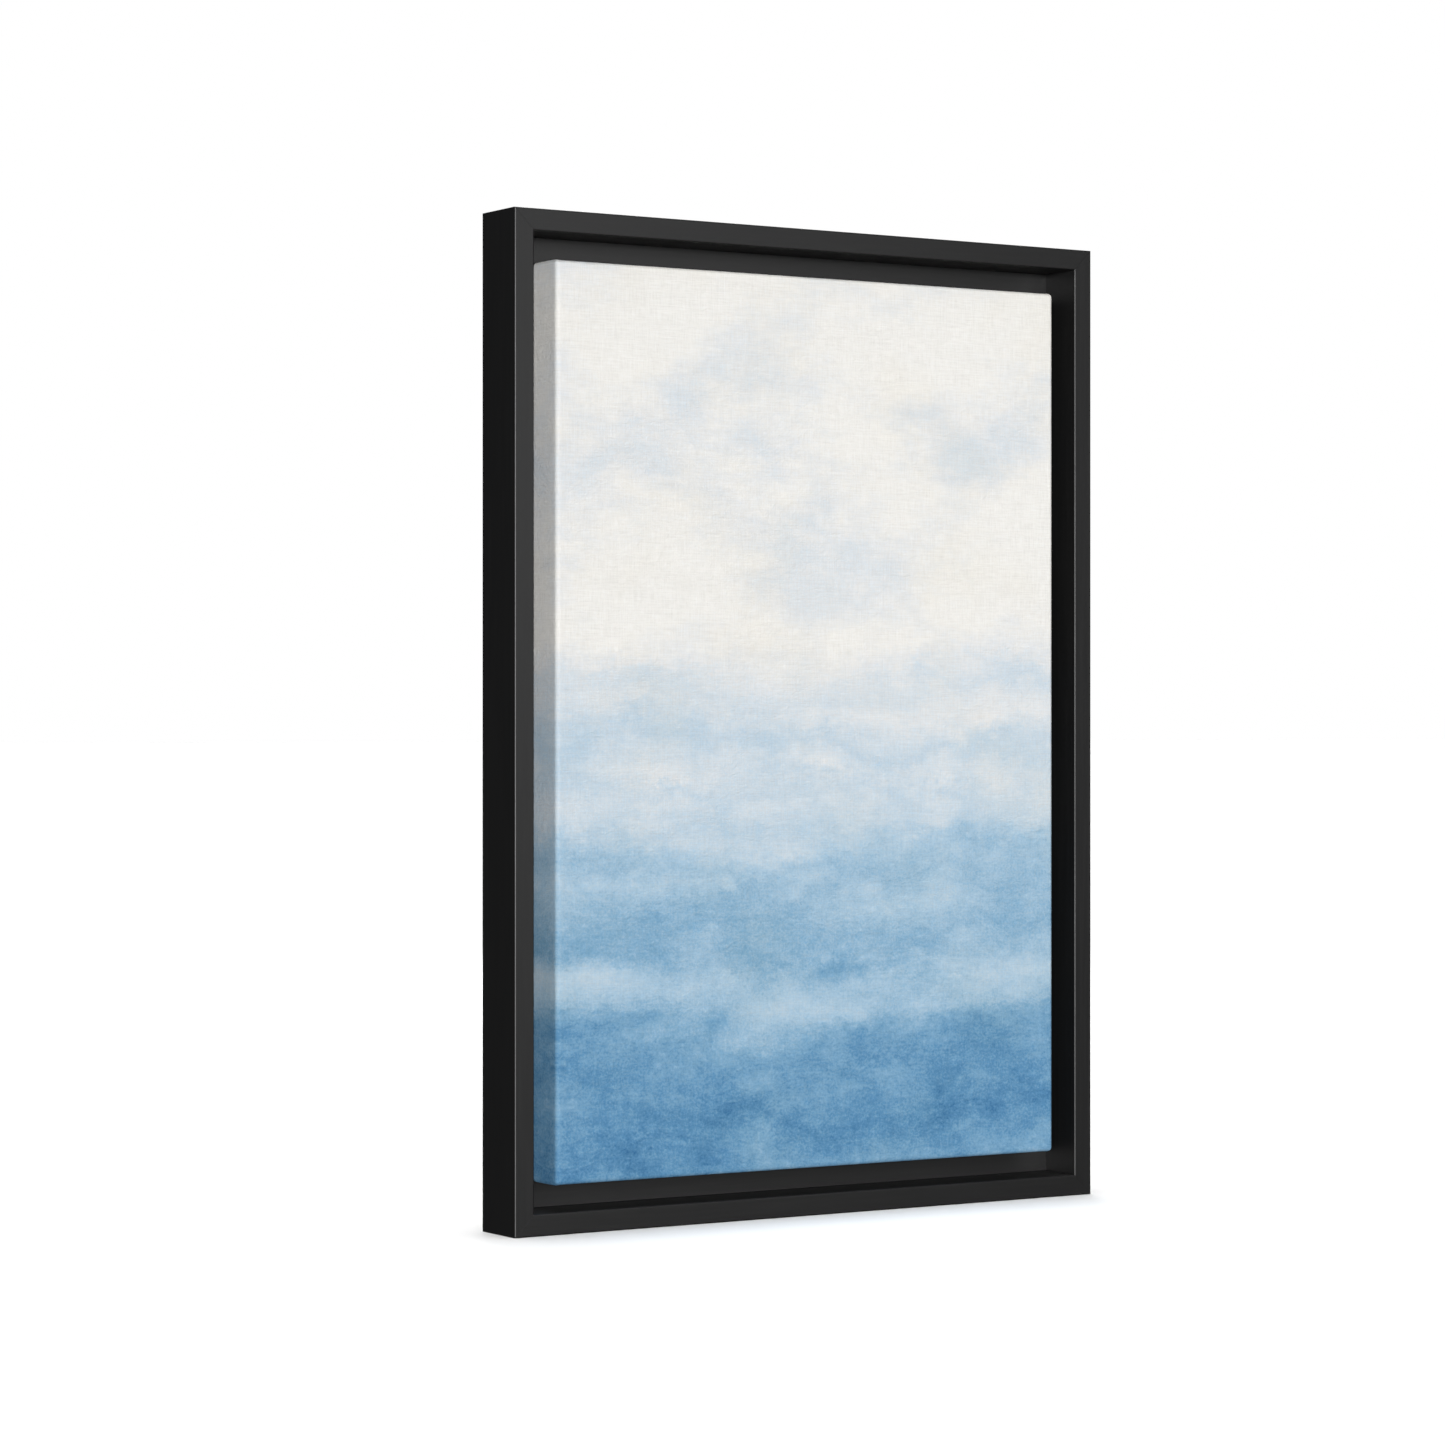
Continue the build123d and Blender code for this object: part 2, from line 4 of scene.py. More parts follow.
import bpy
import bmesh
import numpy as np
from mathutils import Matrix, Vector


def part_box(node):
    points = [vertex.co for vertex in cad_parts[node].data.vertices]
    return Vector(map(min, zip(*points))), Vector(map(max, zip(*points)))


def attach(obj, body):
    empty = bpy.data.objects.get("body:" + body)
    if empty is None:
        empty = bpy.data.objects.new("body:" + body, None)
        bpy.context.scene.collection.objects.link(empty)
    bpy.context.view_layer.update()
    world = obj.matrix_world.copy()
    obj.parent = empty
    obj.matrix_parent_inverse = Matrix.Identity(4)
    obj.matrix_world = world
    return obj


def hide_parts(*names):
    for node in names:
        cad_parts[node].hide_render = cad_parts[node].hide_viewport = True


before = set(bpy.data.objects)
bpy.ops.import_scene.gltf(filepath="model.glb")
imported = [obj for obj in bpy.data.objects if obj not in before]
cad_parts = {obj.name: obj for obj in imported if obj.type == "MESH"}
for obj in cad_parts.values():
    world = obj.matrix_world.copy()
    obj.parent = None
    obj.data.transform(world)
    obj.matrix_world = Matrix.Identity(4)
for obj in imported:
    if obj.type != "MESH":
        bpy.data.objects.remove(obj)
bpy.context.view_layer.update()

random.seed(7)
rng = np.random.default_rng(7)
collection = bpy.context.scene.collection

# ------------------------------------------------------------------ positions from the frame
cl_lo, cl_hi = [np.array(v, dtype=float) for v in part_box("canvas_cloth")]
fr_lo, fr_hi = [np.array(v, dtype=float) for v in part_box("frame_rail_left")]
fr_hi = np.array(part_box("frame_rail_right")[1], dtype=float)
HALF_W = (cl_hi[0] - cl_lo[0]) / 2            # canvas half width
HALF_H = (cl_hi[2] - cl_lo[2]) / 2
MID_Z = (cl_hi[2] + cl_lo[2]) / 2
Y_FACE, Y_FOLD = cl_lo[1], cl_hi[1]
DEPTH = Y_FOLD - Y_FACE
FRAME_HALF_W = (fr_hi[0] - fr_lo[0]) / 2
FRAME_H = fr_hi[2] - fr_lo[2]
Y_LIP, Y_BACK = fr_lo[1], fr_hi[1]
CLOTH_T = 0.0005
FOLD_W = 0.030
EDGE_R = 0.003
CORNER_R = 0.0026
BACK_R = 0.0012


# ------------------------------------------------------------------ node helper
class Nodes:
    def __init__(self, name):
        self.mat = bpy.data.materials.new(name)
        self.mat.use_nodes = True
        self.t = self.mat.node_tree
        self.t.nodes.clear()
        self.out = self.t.nodes.new("ShaderNodeOutputMaterial")
        self.bsdf = self.t.nodes.new("ShaderNodeBsdfPrincipled")
        self.t.links.new(self.bsdf.outputs[0], self.out.inputs[0])

    def put(self, socket, v):
        if isinstance(v, bpy.types.NodeSocket):
            self.t.links.new(v, socket)
        elif v is not None:
            if socket.type == "RGBA" and not hasattr(v, "__len__"):
                v = (v, v, v, 1)
            if socket.type == "RGBA" and len(v) == 3:
                v = (*v, 1)
            socket.default_value = v

    def set(self, **values):
        for k, v in values.items():
            self.put(self.bsdf.inputs[k.replace("_", " ")], v)

    def new(self, kind, **props):
        n = self.t.nodes.new(kind)
        for k, v in props.items():
            setattr(n, k, v)
        return n

    def math(self, op, a, b=None, c=None, clamp=False):
        n = self.new("ShaderNodeMath", operation=op, use_clamp=clamp)
        self.put(n.inputs[0], a)
        if b is not None:
            self.put(n.inputs[1], b)
        if c is not None:
            self.put(n.inputs[2], c)
        return n.outputs[0]

    def add(self, a, b):
        return self.math("ADD", a, b)

    def sub(self, a, b):
        return self.math("SUBTRACT", a, b)

    def mul(self, a, b):
        return self.math("MULTIPLY", a, b)

    def madd(self, a, b, c):
        return self.math("MULTIPLY_ADD", a, b, c)

    def xyz(self, v):
        return self.split(v)

    def split(self, v):
        n = self.new("ShaderNodeSeparateXYZ")
        self.put(n.inputs[0], v)
        return n.outputs[0], n.outputs[1], n.outputs[2]

    def vec(self, x, y, z):
        n = self.new("ShaderNodeCombineXYZ")
        for s, v in zip(n.inputs, (x, y, z)):
            self.put(s, v)
        return n.outputs[0]

    def scaled(self, v, s):
        n = self.new("ShaderNodeVectorMath", operation="MULTIPLY")
        self.put(n.inputs[0], v)
        self.put(n.inputs[1], s)
        return n.outputs[0]

    def vadd(self, v, s):
        n = self.new("ShaderNodeVectorMath", operation="ADD")
        self.put(n.inputs[0], v)
        self.put(n.inputs[1], s)
        return n.outputs[0]

    def noise(self, v, scale, detail=2.0, rough=0.5, distortion=0.0, colour=False):
        n = self.new("ShaderNodeTexNoise")
        self.put(n.inputs["Vector"], v)
        n.inputs["Scale"].default_value = scale
        n.inputs["Detail"].default_value = detail
        n.inputs["Roughness"].default_value = rough
        n.inputs["Distortion"].default_value = distortion
        return n.outputs["Color"] if colour else n.outputs["Fac"]

    def rgb(self, c):
        n = self.new("ShaderNodeSeparateColor")
        self.put(n.inputs[0], c)
        return n.outputs[0], n.outputs[1], n.outputs[2]

    def range(self, x, a, b, c=0.0, d=1.0, smooth=True):
        n = self.new("ShaderNodeMapRange", interpolation_type="SMOOTHSTEP" if smooth else "LINEAR")
        n.clamp = True
        self.put(n.inputs[0], x)
        for i, v in enumerate((a, b, c, d)):
            self.put(n.inputs[i + 1], v)
        return n.outputs[0]

    def curve(self, x, points):
        n = self.new("ShaderNodeFloatCurve")
        c = n.mapping.curves[0]
        n.mapping.extend = "HORIZONTAL"
        while len(c.points) < len(points):
            c.points.new(0.5, 0.5)
        for p, (a, b) in zip(c.points, points):
            p.location = (a, b)
            p.handle_type = "AUTO"
        n.mapping.update()
        self.put(n.inputs["Value"], x)
        return n.outputs[0]

    def ramp(self, x, stops, mode="LINEAR"):
        n = self.new("ShaderNodeValToRGB")
        n.color_ramp.interpolation = mode
        e = n.color_ramp.elements
        while len(e) < len(stops):
            e.new(0.5)
        for el, (p, col) in zip(e, stops):
            el.position = p
            el.color = (*col, 1)
        self.put(n.inputs[0], x)
        return n.outputs[0]

    def mix(self, f, a, b, blend="MIX"):
        n = self.new("ShaderNodeMix", data_type="RGBA", blend_type=blend)
        self.put(n.inputs[0], f)
        self.put(n.inputs[6], a)
        self.put(n.inputs[7], b)
        return n.outputs[2]

    def bump(self, height, strength=1.0, distance=1.0, normal=None):
        n = self.new("ShaderNodeBump")
        n.inputs["Strength"].default_value = strength
        n.inputs["Distance"].default_value = distance
        self.put(n.inputs["Height"], height)
        if normal is not None:
            self.put(n.inputs["Normal"], normal)
        return n.outputs[0]

    def coords(self):
        return self.new("ShaderNodeTexCoord").outputs["Object"]

    def uv(self, name):
        return self.new("ShaderNodeUVMap", uv_map=name).outputs[0]


def srgb(r, g, b):
    return tuple((c / 255 / 12.92) if c / 255 <= 0.04045 else ((c / 255 + 0.055) / 1.055) ** 2.4 for c in (r, g, b))


# ------------------------------------------------------------------ woven cloth shared by both faces
def weave(n, sheet, pitch=0.00062):
    """Plain weave from the cloth's own flat coordinates, in metres: height of the threads and the slubs along them."""
    s, t, _ = n.split(sheet)
    wob = n.noise(sheet, 260.0, 2.0, 0.5, colour=True)
    wr, wg, _ = n.rgb(wob)
    s2 = n.madd(n.sub(wr, 0.5), 0.00035, s)
    t2 = n.madd(n.sub(wg, 0.5), 0.00035, t)
    k = math.pi / pitch
    sx, tx = n.mul(s2, k), n.mul(t2, k)
    # warp thread over, weft thread under, alternating
    a = n.math("ABSOLUTE", n.math("SINE", sx))
    b = n.math("ABSOLUTE", n.math("SINE", tx))
    par = n.mul(n.math("COSINE", sx), n.math("COSINE", tx))
    over = n.range(par, -0.25, 0.25)
    h = n.add(n.mul(a, over), n.mul(b, n.sub(1.0, over)))
    along = n.noise(n.scaled(sheet, (90.0, 1350.0, 1.0)), 1.0, 3.0, 0.55)
    across = n.noise(n.scaled(sheet, (1350.0, 90.0, 1.0)), 1.0, 3.0, 0.55)
    return h, along, across


# ------------------------------------------------------------------ painted face
def painted_cloth():
    n = Nodes("painted_canvas")
    paint, sheet = n.uv("paint"), n.uv("sheet")
    s, t, _ = n.split(paint)
    def centred(x, amp):
        return n.mul(n.sub(x, 0.5), amp)

    # the hand's own wander bends the whole lay-out a little
    w0, w1, w2 = n.rgb(n.noise(n.vadd(n.scaled(paint, (1.0, 1.4, 1.0)), (0.6, 0.2, 2.4)), 11.0, 6.0, 0.6, 0.2, colour=True))
    u = n.add(n.madd(s, 1 / (2 * HALF_W), 0.5), centred(w0, .10))
    v = n.add(n.madd(t, -1 / (2 * HALF_H), 0.5), centred(w1, .045))

    # slow bends of the brush, ragged edges where wet paint ran, and the bite of the weave on them
    s0, s1, s2 = n.rgb(n.noise(n.scaled(paint, (1.0, 1.5, 1.0)), 7.0, 3.0, 0.55, colour=True))
    a0, a1, a2 = n.rgb(n.noise(n.vadd(n.scaled(paint, (1.0, 1.5, 1.0)), (0.31, 0.12, 0.4)), 22.0, 9.0, 0.64, 0.1, colour=True))
    b0, b1, b2 = n.rgb(n.noise(n.vadd(n.scaled(paint, (1.0, 1.6, 1.0)), (0.73, 0.55, 1.9)), 33.0, 9.0, 0.66, 0.15, colour=True))
    c0, c1, c2 = n.rgb(n.noise(n.vadd(n.scaled(paint, (1.0, 1.3, 1.0)), (0.2, 1.55, 0.6)), 170.0, 5.0, 0.7, colour=True))

    def ridge(line, strength, width, length, keep, bend, ragged, fine, soft=0.0, rim=0.12):
        """A wash laid up to a ragged line, strongest just under it and thinning downward."""
        e = n.sub(v, n.curve(u, line))
        e = n.add(e, n.add(n.add(bend, ragged), centred(fine, .026)))
        e = n.math("DIVIDE", e, n.math("MAXIMUM", n.madd(w2, 5.0, -1.25), 0.35))      # wet in places, dry-edged in others
        start = n.range(e, -soft, width)
        fade = n.math("EXPONENT", n.mul(n.math("MAXIMUM", e, 0.0), -1.0 / length))
        body = n.madd(fade, 1.0 - keep, keep)
        edge = n.mul(n.range(e, 0.0, width * .8), n.range(e, width * .8, width * .8 + .022, 1.0, 0.0))
        body = n.madd(edge, rim, body)
        return n.mul(n.mul(start, body), n.curve(u, strength))

    def band(line, strength, half, bend, fine):
        """A pale drift of mist along a line."""
        e = n.math("ABSOLUTE", n.add(n.add(n.sub(v, n.curve(u, line)), bend), centred(fine, .02)))
        return n.mul(n.range(e, half * .15, half, 1.0, 0.0), n.curve(u, strength))

    def swell(base, height, waves, phase):
        """A long, nearly level swell across the width."""
        return [(k / 10, base + height * math.sin(2 * math.pi * (waves * k / 10 + phase))) for k in range(11)]

    def even(start, end):
        return [(0, start), (1, end)]

    # a plain graded wash: level layers, evenly spaced, that deepen toward the bottom
    bends, raggeds, fines = (s0, s1, s2), (a0, b1, a2, b0, a1, b2), (c0, c1, c2)
    layers = []
    for k in range(8):
        layers.append(ridge(swell(.42 + .07 * k, .013, .8 + .11 * k, .618 * k), even(.22 + .030 * k, .22 + .030 * k),
                            .040, .060, .34, centred(bends[k % 3], .02), centred(raggeds[k % 6], .05), fines[k % 3], .012))
    clear = None
    for d in layers:
        c = n.sub(1.0, d)
        clear = c if clear is None else n.mul(clear, c)
    ink = n.sub(1.0, clear)

    mists = [band(swell(.59, .012, 1.1, .25), even(.26, .26), .040, n.add(centred(s1, .03), centred(b0, .05)), c0),
             band(swell(.80, .012, .9, .70), even(.26, .26), .040, n.add(centred(s2, .03), centred(a1, .05)), c1)]
    for m in mists:
        ink = n.mul(ink, n.sub(1.0, m))

    # thin cloud washes in the sky
    cl = n.noise(n.vadd(n.scaled(paint, (1.0, 1.7, 1.0)), (4.7, 2.9, 6.1)), 7.0, 7.0, 0.60, 0.1)
    cl = n.add(cl, centred(c1, .05))
    cloud = n.mul(n.range(cl, .40, .64), n.curve(v, [(0, .12), (.4, .12), (.5, .0), (1, .0)]))
    ink = n.sub(1.0, n.mul(n.sub(1.0, ink), n.sub(1.0, cloud)))

    # pigment that settled unevenly: nearly level strokes, blooms and granulation
    slant = n.vec(n.add(n.madd(t, -0.10, s), centred(w2, .03)), n.add(n.madd(s, 0.08, t), centred(w0, .05)), 0.0)
    strokes = n.noise(n.scaled(slant, (30.0, 120.0, 1.0)), 1.0, 8.0, 0.70)
    blooms = n.noise(n.vadd(paint, (0.9, 0.2, 3.0)), 26.0, 6.0, 0.62)
    mottle = n.noise(n.vadd(paint, (0.4, 0.9, 1.0)), 150.0, 5.0, 0.72)
    grain = n.noise(paint, 560.0, 3.0, 0.7)
    # brush relief in the primer: the wash is darker in its hollows
    relief = n.noise(n.vadd(n.scaled(slant, (170.0, 360.0, 1.0)), (3.0, 1.0, 0.0)), 1.0, 5.0, 0.68, 0.6)
    tone = n.add(n.add(centred(strokes, .38), centred(blooms, .46)), n.add(centred(mottle, .30), centred(grain, .46)))
    tone = n.sub(tone, centred(relief, .34))
    ink = n.mul(ink, n.add(tone, 1.0))
    height, along, across = weave(n, sheet)
    thread = n.add(centred(along, 1.0), centred(across, 1.0))
    broad = n.add(centred(n.noise(n.scaled(sheet, (30.0, 760.0, 1.0)), 1.0, 3.0, 0.6), 1.0),
                  centred(n.noise(n.scaled(sheet, (760.0, 30.0, 1.0)), 1.0, 3.0, 0.6), .8))
    ink = n.math("ADD", ink, n.add(n.mul(thread, 0.09), centred(grain, .10)), clamp=True)

    colour = n.ramp(ink, [
        (0.00, srgb(251, 249, 244)),
        (0.10, srgb(238, 240, 241)),
        (0.22, srgb(216, 228, 237)),
        (0.40, srgb(176, 206, 227)),
        (0.56, srgb(134, 178, 209)),
        (0.72, srgb(94, 148, 189)),
        (0.86, srgb(62, 118, 165)),
        (1.00, srgb(40, 92, 143)),
    ], "LINEAR")
    warm = n.noise(n.vadd(paint, (2.0, 1.0, 0.0)), 12.0, 3.0, 0.5)
    colour = n.mix(n.mul(n.range(warm, .45, .7), .18), colour, srgb(247, 242, 230), "MULTIPLY")
    # thread by thread light and shade that the primer leaves
    shade = n.add(n.add(n.madd(thread, 0.26, 1.0), n.mul(broad, 0.14)), centred(grain, .10))
    colour = n.mix(1.0, colour, n.vec(shade, shade, shade), "MULTIPLY")

    # the wash stops a little way onto the back fold, and bare primer follows
    ss, tt, _ = n.split(sheet)
    past = n.math("MAXIMUM", n.sub(n.math("ABSOLUTE", ss), HALF_W), n.sub(n.math("ABSOLUTE", tt), HALF_H))
    edge = n.noise(sheet, 90.0, 4.0, 0.6)
    bare = n.range(n.madd(edge, 0.008, past), DEPTH + 0.0105, DEPTH + 0.0125)
    primer = n.mix(n.mul(grain, 0.35), srgb(236, 232, 221), srgb(221, 214, 198))
    colour = n.mix(bare, colour, primer)

    h = n.add(n.mul(height, 0.00005), n.mul(n.add(along, across), 0.00010))
    # brushed relief only where there is paint; the bare fold shows its weave
    h = n.add(h, n.add(n.mul(n.mul(relief, 0.00085), n.sub(1.0, bare)), n.mul(grain, 0.00010)))
    h = n.add(h, n.mul(n.mul(height, 0.00010), bare))
    n.set(Base_Color=colour, Roughness=n.madd(grain, 0.12, 0.74), Normal=n.bump(h, 0.8))
    n.bsdf.inputs["Specular IOR Level"].default_value = 0.22
    return n.mat


def raw_cloth():
    n = Nodes("raw_cotton_back")
    sheet = n.uv("sheet")
    height, along, across = weave(n, sheet)
    thread = n.add(n.sub(along, 0.5), n.sub(across, 0.5))
    patch = n.noise(sheet, 9.0, 4.0, 0.55)
    colour = n.mix(patch, srgb(226, 214, 190), srgb(205, 190, 161))
    flecks = n.noise(n.scaled(sheet, (1.0, 1.0, 1.0)), 650.0, 1.0, 0.5)
    colour = n.mix(n.mul(n.range(flecks, .70, .78), .55), colour, srgb(122, 92, 58))
    shade = n.add(n.madd(thread, 0.34, 0.86), n.mul(height, 0.14))
    colour = n.mix(1.0, colour, n.vec(shade, shade, shade), "MULTIPLY")
    h = n.add(n.mul(height, 0.00012), n.mul(n.add(along, across), 0.00012))
    n.set(Base_Color=colour, Roughness=0.92, Normal=n.bump(h, 1.0))
    n.bsdf.inputs["Specular IOR Level"].default_value = 0.15
    n.bsdf.inputs["Sheen Weight"].default_value = 0.25
    n.bsdf.inputs["Sheen Roughness"].default_value = 0.5
    return n.mat


# ------------------------------------------------------------------ the other materials
def black_paint(name, axis):
    """Satin black lacquer over wood: the grain telegraphs through along the rail."""
    n = Nodes(name)
    p = n.coords()
    x, y, z = n.split(p)
    long_scale, short_scale = 14.0, 520.0
    stretch = (long_scale, short_scale, short_scale) if axis == "x" else (short_scale, short_scale, long_scale)
    fibre = n.noise(n.scaled(p, stretch), 1.0, 4.0, 0.6)
    pores = n.noise(n.scaled(p, tuple(v * 2.2 for v in stretch)), 1.0, 2.0, 0.5)
    orange = n.noise(p, 900.0, 2.0, 0.5)
    cloudy = n.noise(p, 11.0, 3.0, 0.5)
    # hairline where two rails meet
    ax = n.sub(FRAME_HALF_W, n.math("ABSOLUTE", x))
    az = n.math("MINIMUM", z, n.sub(FRAME_H, z))
    seam = n.range(n.math("ABSOLUTE", n.sub(ax, az)), 0.00005, 0.00028, 1.0, 0.0)
    colour = n.mix(n.range(fibre, .35, .7), (0.0044, 0.0044, 0.0047), (0.0070, 0.0069, 0.0072))
    colour = n.mix(n.mul(n.range(pores, .66, .8), .6), colour, (0.003, 0.003, 0.003))
    colour = n.mix(n.mul(seam, .7), colour, (0.001, 0.001, 0.001))
    rough = n.add(n.madd(cloudy, 0.04, 0.435), n.mul(n.sub(fibre, 0.5), 0.08))
    h = n.add(n.mul(fibre, 0.000030), n.mul(orange, 0.000004))
    h = n.sub(h, n.mul(n.range(pores, .62, .8), 0.000018))
    h = n.sub(h, n.mul(seam, 0.00008))
    n.set(Base_Color=colour, Roughness=rough, Normal=n.bump(h, 0.7))
    n.bsdf.inputs["Specular IOR Level"].default_value = 0.62
    return n.mat


def bare_wood(name, axis, light, dark, late, ring=0.0042, centre=(0.03, 0.0, -0.05), knots=True):
    n = Nodes(name)
    p = n.coords()
    slow = (2.0, 9.0, 9.0) if axis == "x" else (9.0, 9.0, 2.0)
    bend = n.noise(n.scaled(p, slow), 1.0, 3.0, 0.5, colour=True)
    bx, by, bz = n.rgb(bend)
    x, y, z = n.split(p)
    if axis == "x":
        e, f = n.add(n.add(y, centre[0]), n.mul(by, 0.03)), n.add(n.add(z, centre[2]), n.mul(bz, 0.03))
    else:
        e, f = n.add(n.add(y, centre[0]), n.mul(by, 0.03)), n.add(n.add(x, centre[2]), n.mul(bx, 0.03))
    r = n.math("SQRT", n.add(n.mul(e, e), n.mul(f, f)))
    wob = n.noise(n.scaled(p, (6, 60, 60) if axis == "x" else (60, 60, 6)), 1.0, 3.0, 0.55)
    r = n.madd(wob, ring * 0.5, r)
    phase = n.math("FRACT", n.mul(r, 1.0 / ring))
    early = n.range(phase, 0.35, 0.92)
    latewood = n.mul(early, n.range(phase, 0.93, 1.0, 1.0, 0.0))
    st = (30.0, 1500.0, 1500.0) if axis == "x" else (1500.0, 1500.0, 30.0)
    fibre = n.noise(n.scaled(p, st), 1.0, 3.0, 0.6)
    colour = n.mix(n.noise(n.scaled(p, slow), 1.7, 3.0, 0.5), light, dark)
    colour = n.mix(n.mul(latewood, 0.62), colour, late)
    colour = n.mix(n.mul(n.range(fibre, .5, .8), .28), colour, late)
    if knots:
        kn = n.new("ShaderNodeTexVoronoi", feature="F1")
        n.put(kn.inputs["Vector"], n.vadd(n.scaled(p, (5.0, 11.0, 11.0) if axis == "x" else (11.0, 11.0, 5.0)), (0.3, 0.4, 0.1)))
        kn.inputs["Scale"].default_value = 1.0
        k = n.range(kn.outputs["Distance"], 0.03, 0.085, 1.0, 0.0)
        colour = n.mix(n.mul(k, .8), colour, srgb(122, 76, 40))
    h = n.add(n.mul(fibre, 0.00006), n.mul(latewood, 0.00003))
    n.set(Base_Color=colour, Roughness=n.madd(fibre, 0.15, 0.62), Normal=n.bump(h, 0.8))
    n.bsdf.inputs["Specular IOR Level"].default_value = 0.3
    return n.mat


def metal(name, colour, dark, rough, scratch=(700.0, 60.0, 60.0), tarnish=0.25):
    n = Nodes(name)
    p = n.coords()
    lines = n.noise(n.scaled(p, scratch), 1.0, 3.0, 0.6)
    spots = n.noise(p, 420.0, 4.0, 0.6)
    wear = n.noise(p, 95.0, 3.0, 0.55)
    c = n.mix(n.mul(n.range(spots, .45, .75), tarnish), colour, dark)
    c = n.mix(n.mul(n.range(wear, .5, .75), tarnish * .6), c, dark)
    r = n.add(n.madd(lines, 0.16, rough - 0.05), n.mul(n.range(spots, .5, .8), 0.14))
    h = n.add(n.mul(lines, 0.000010), n.mul(spots, 0.000010))
    n.set(Base_Color=c, Roughness=r, Normal=n.bump(h, 0.6))
    n.bsdf.inputs["Metallic"].default_value = 0.92
    return n.mat


def rubber(name):
    n = Nodes(name)
    p = n.coords()
    dust = n.noise(p, 700.0, 4.0, 0.6)
    cl = n.noise(p, 120.0, 3.0, 0.5)
    c = n.mix(cl, srgb(196, 198, 194), srgb(168, 171, 168))
    c = n.mix(n.mul(n.range(dust, .58, .75), .35), c, srgb(226, 226, 220))
    n.set(Base_Color=c, Roughness=n.madd(dust, 0.2, 0.32), Normal=n.bump(n.mul(dust, 0.00001), 0.6))
    n.bsdf.inputs["Subsurface Weight"].default_value = 0.35
    n.bsdf.inputs["Subsurface Radius"].default_value = (0.004, 0.004, 0.0035)
    n.bsdf.inputs["Subsurface Scale"].default_value = 0.6
    return n.mat


def thread_mat():
    n = Nodes("loose_cotton")
    p = n.coords()
    a = n.noise(p, 900.0, 3.0, 0.6)
    n.set(Base_Color=n.mix(a, srgb(238, 230, 212), srgb(206, 192, 164)), Roughness=n.madd(a, 0.1, 0.85), Normal=n.bump(n.mul(a, 0.00005), 0.8))
    return n.mat


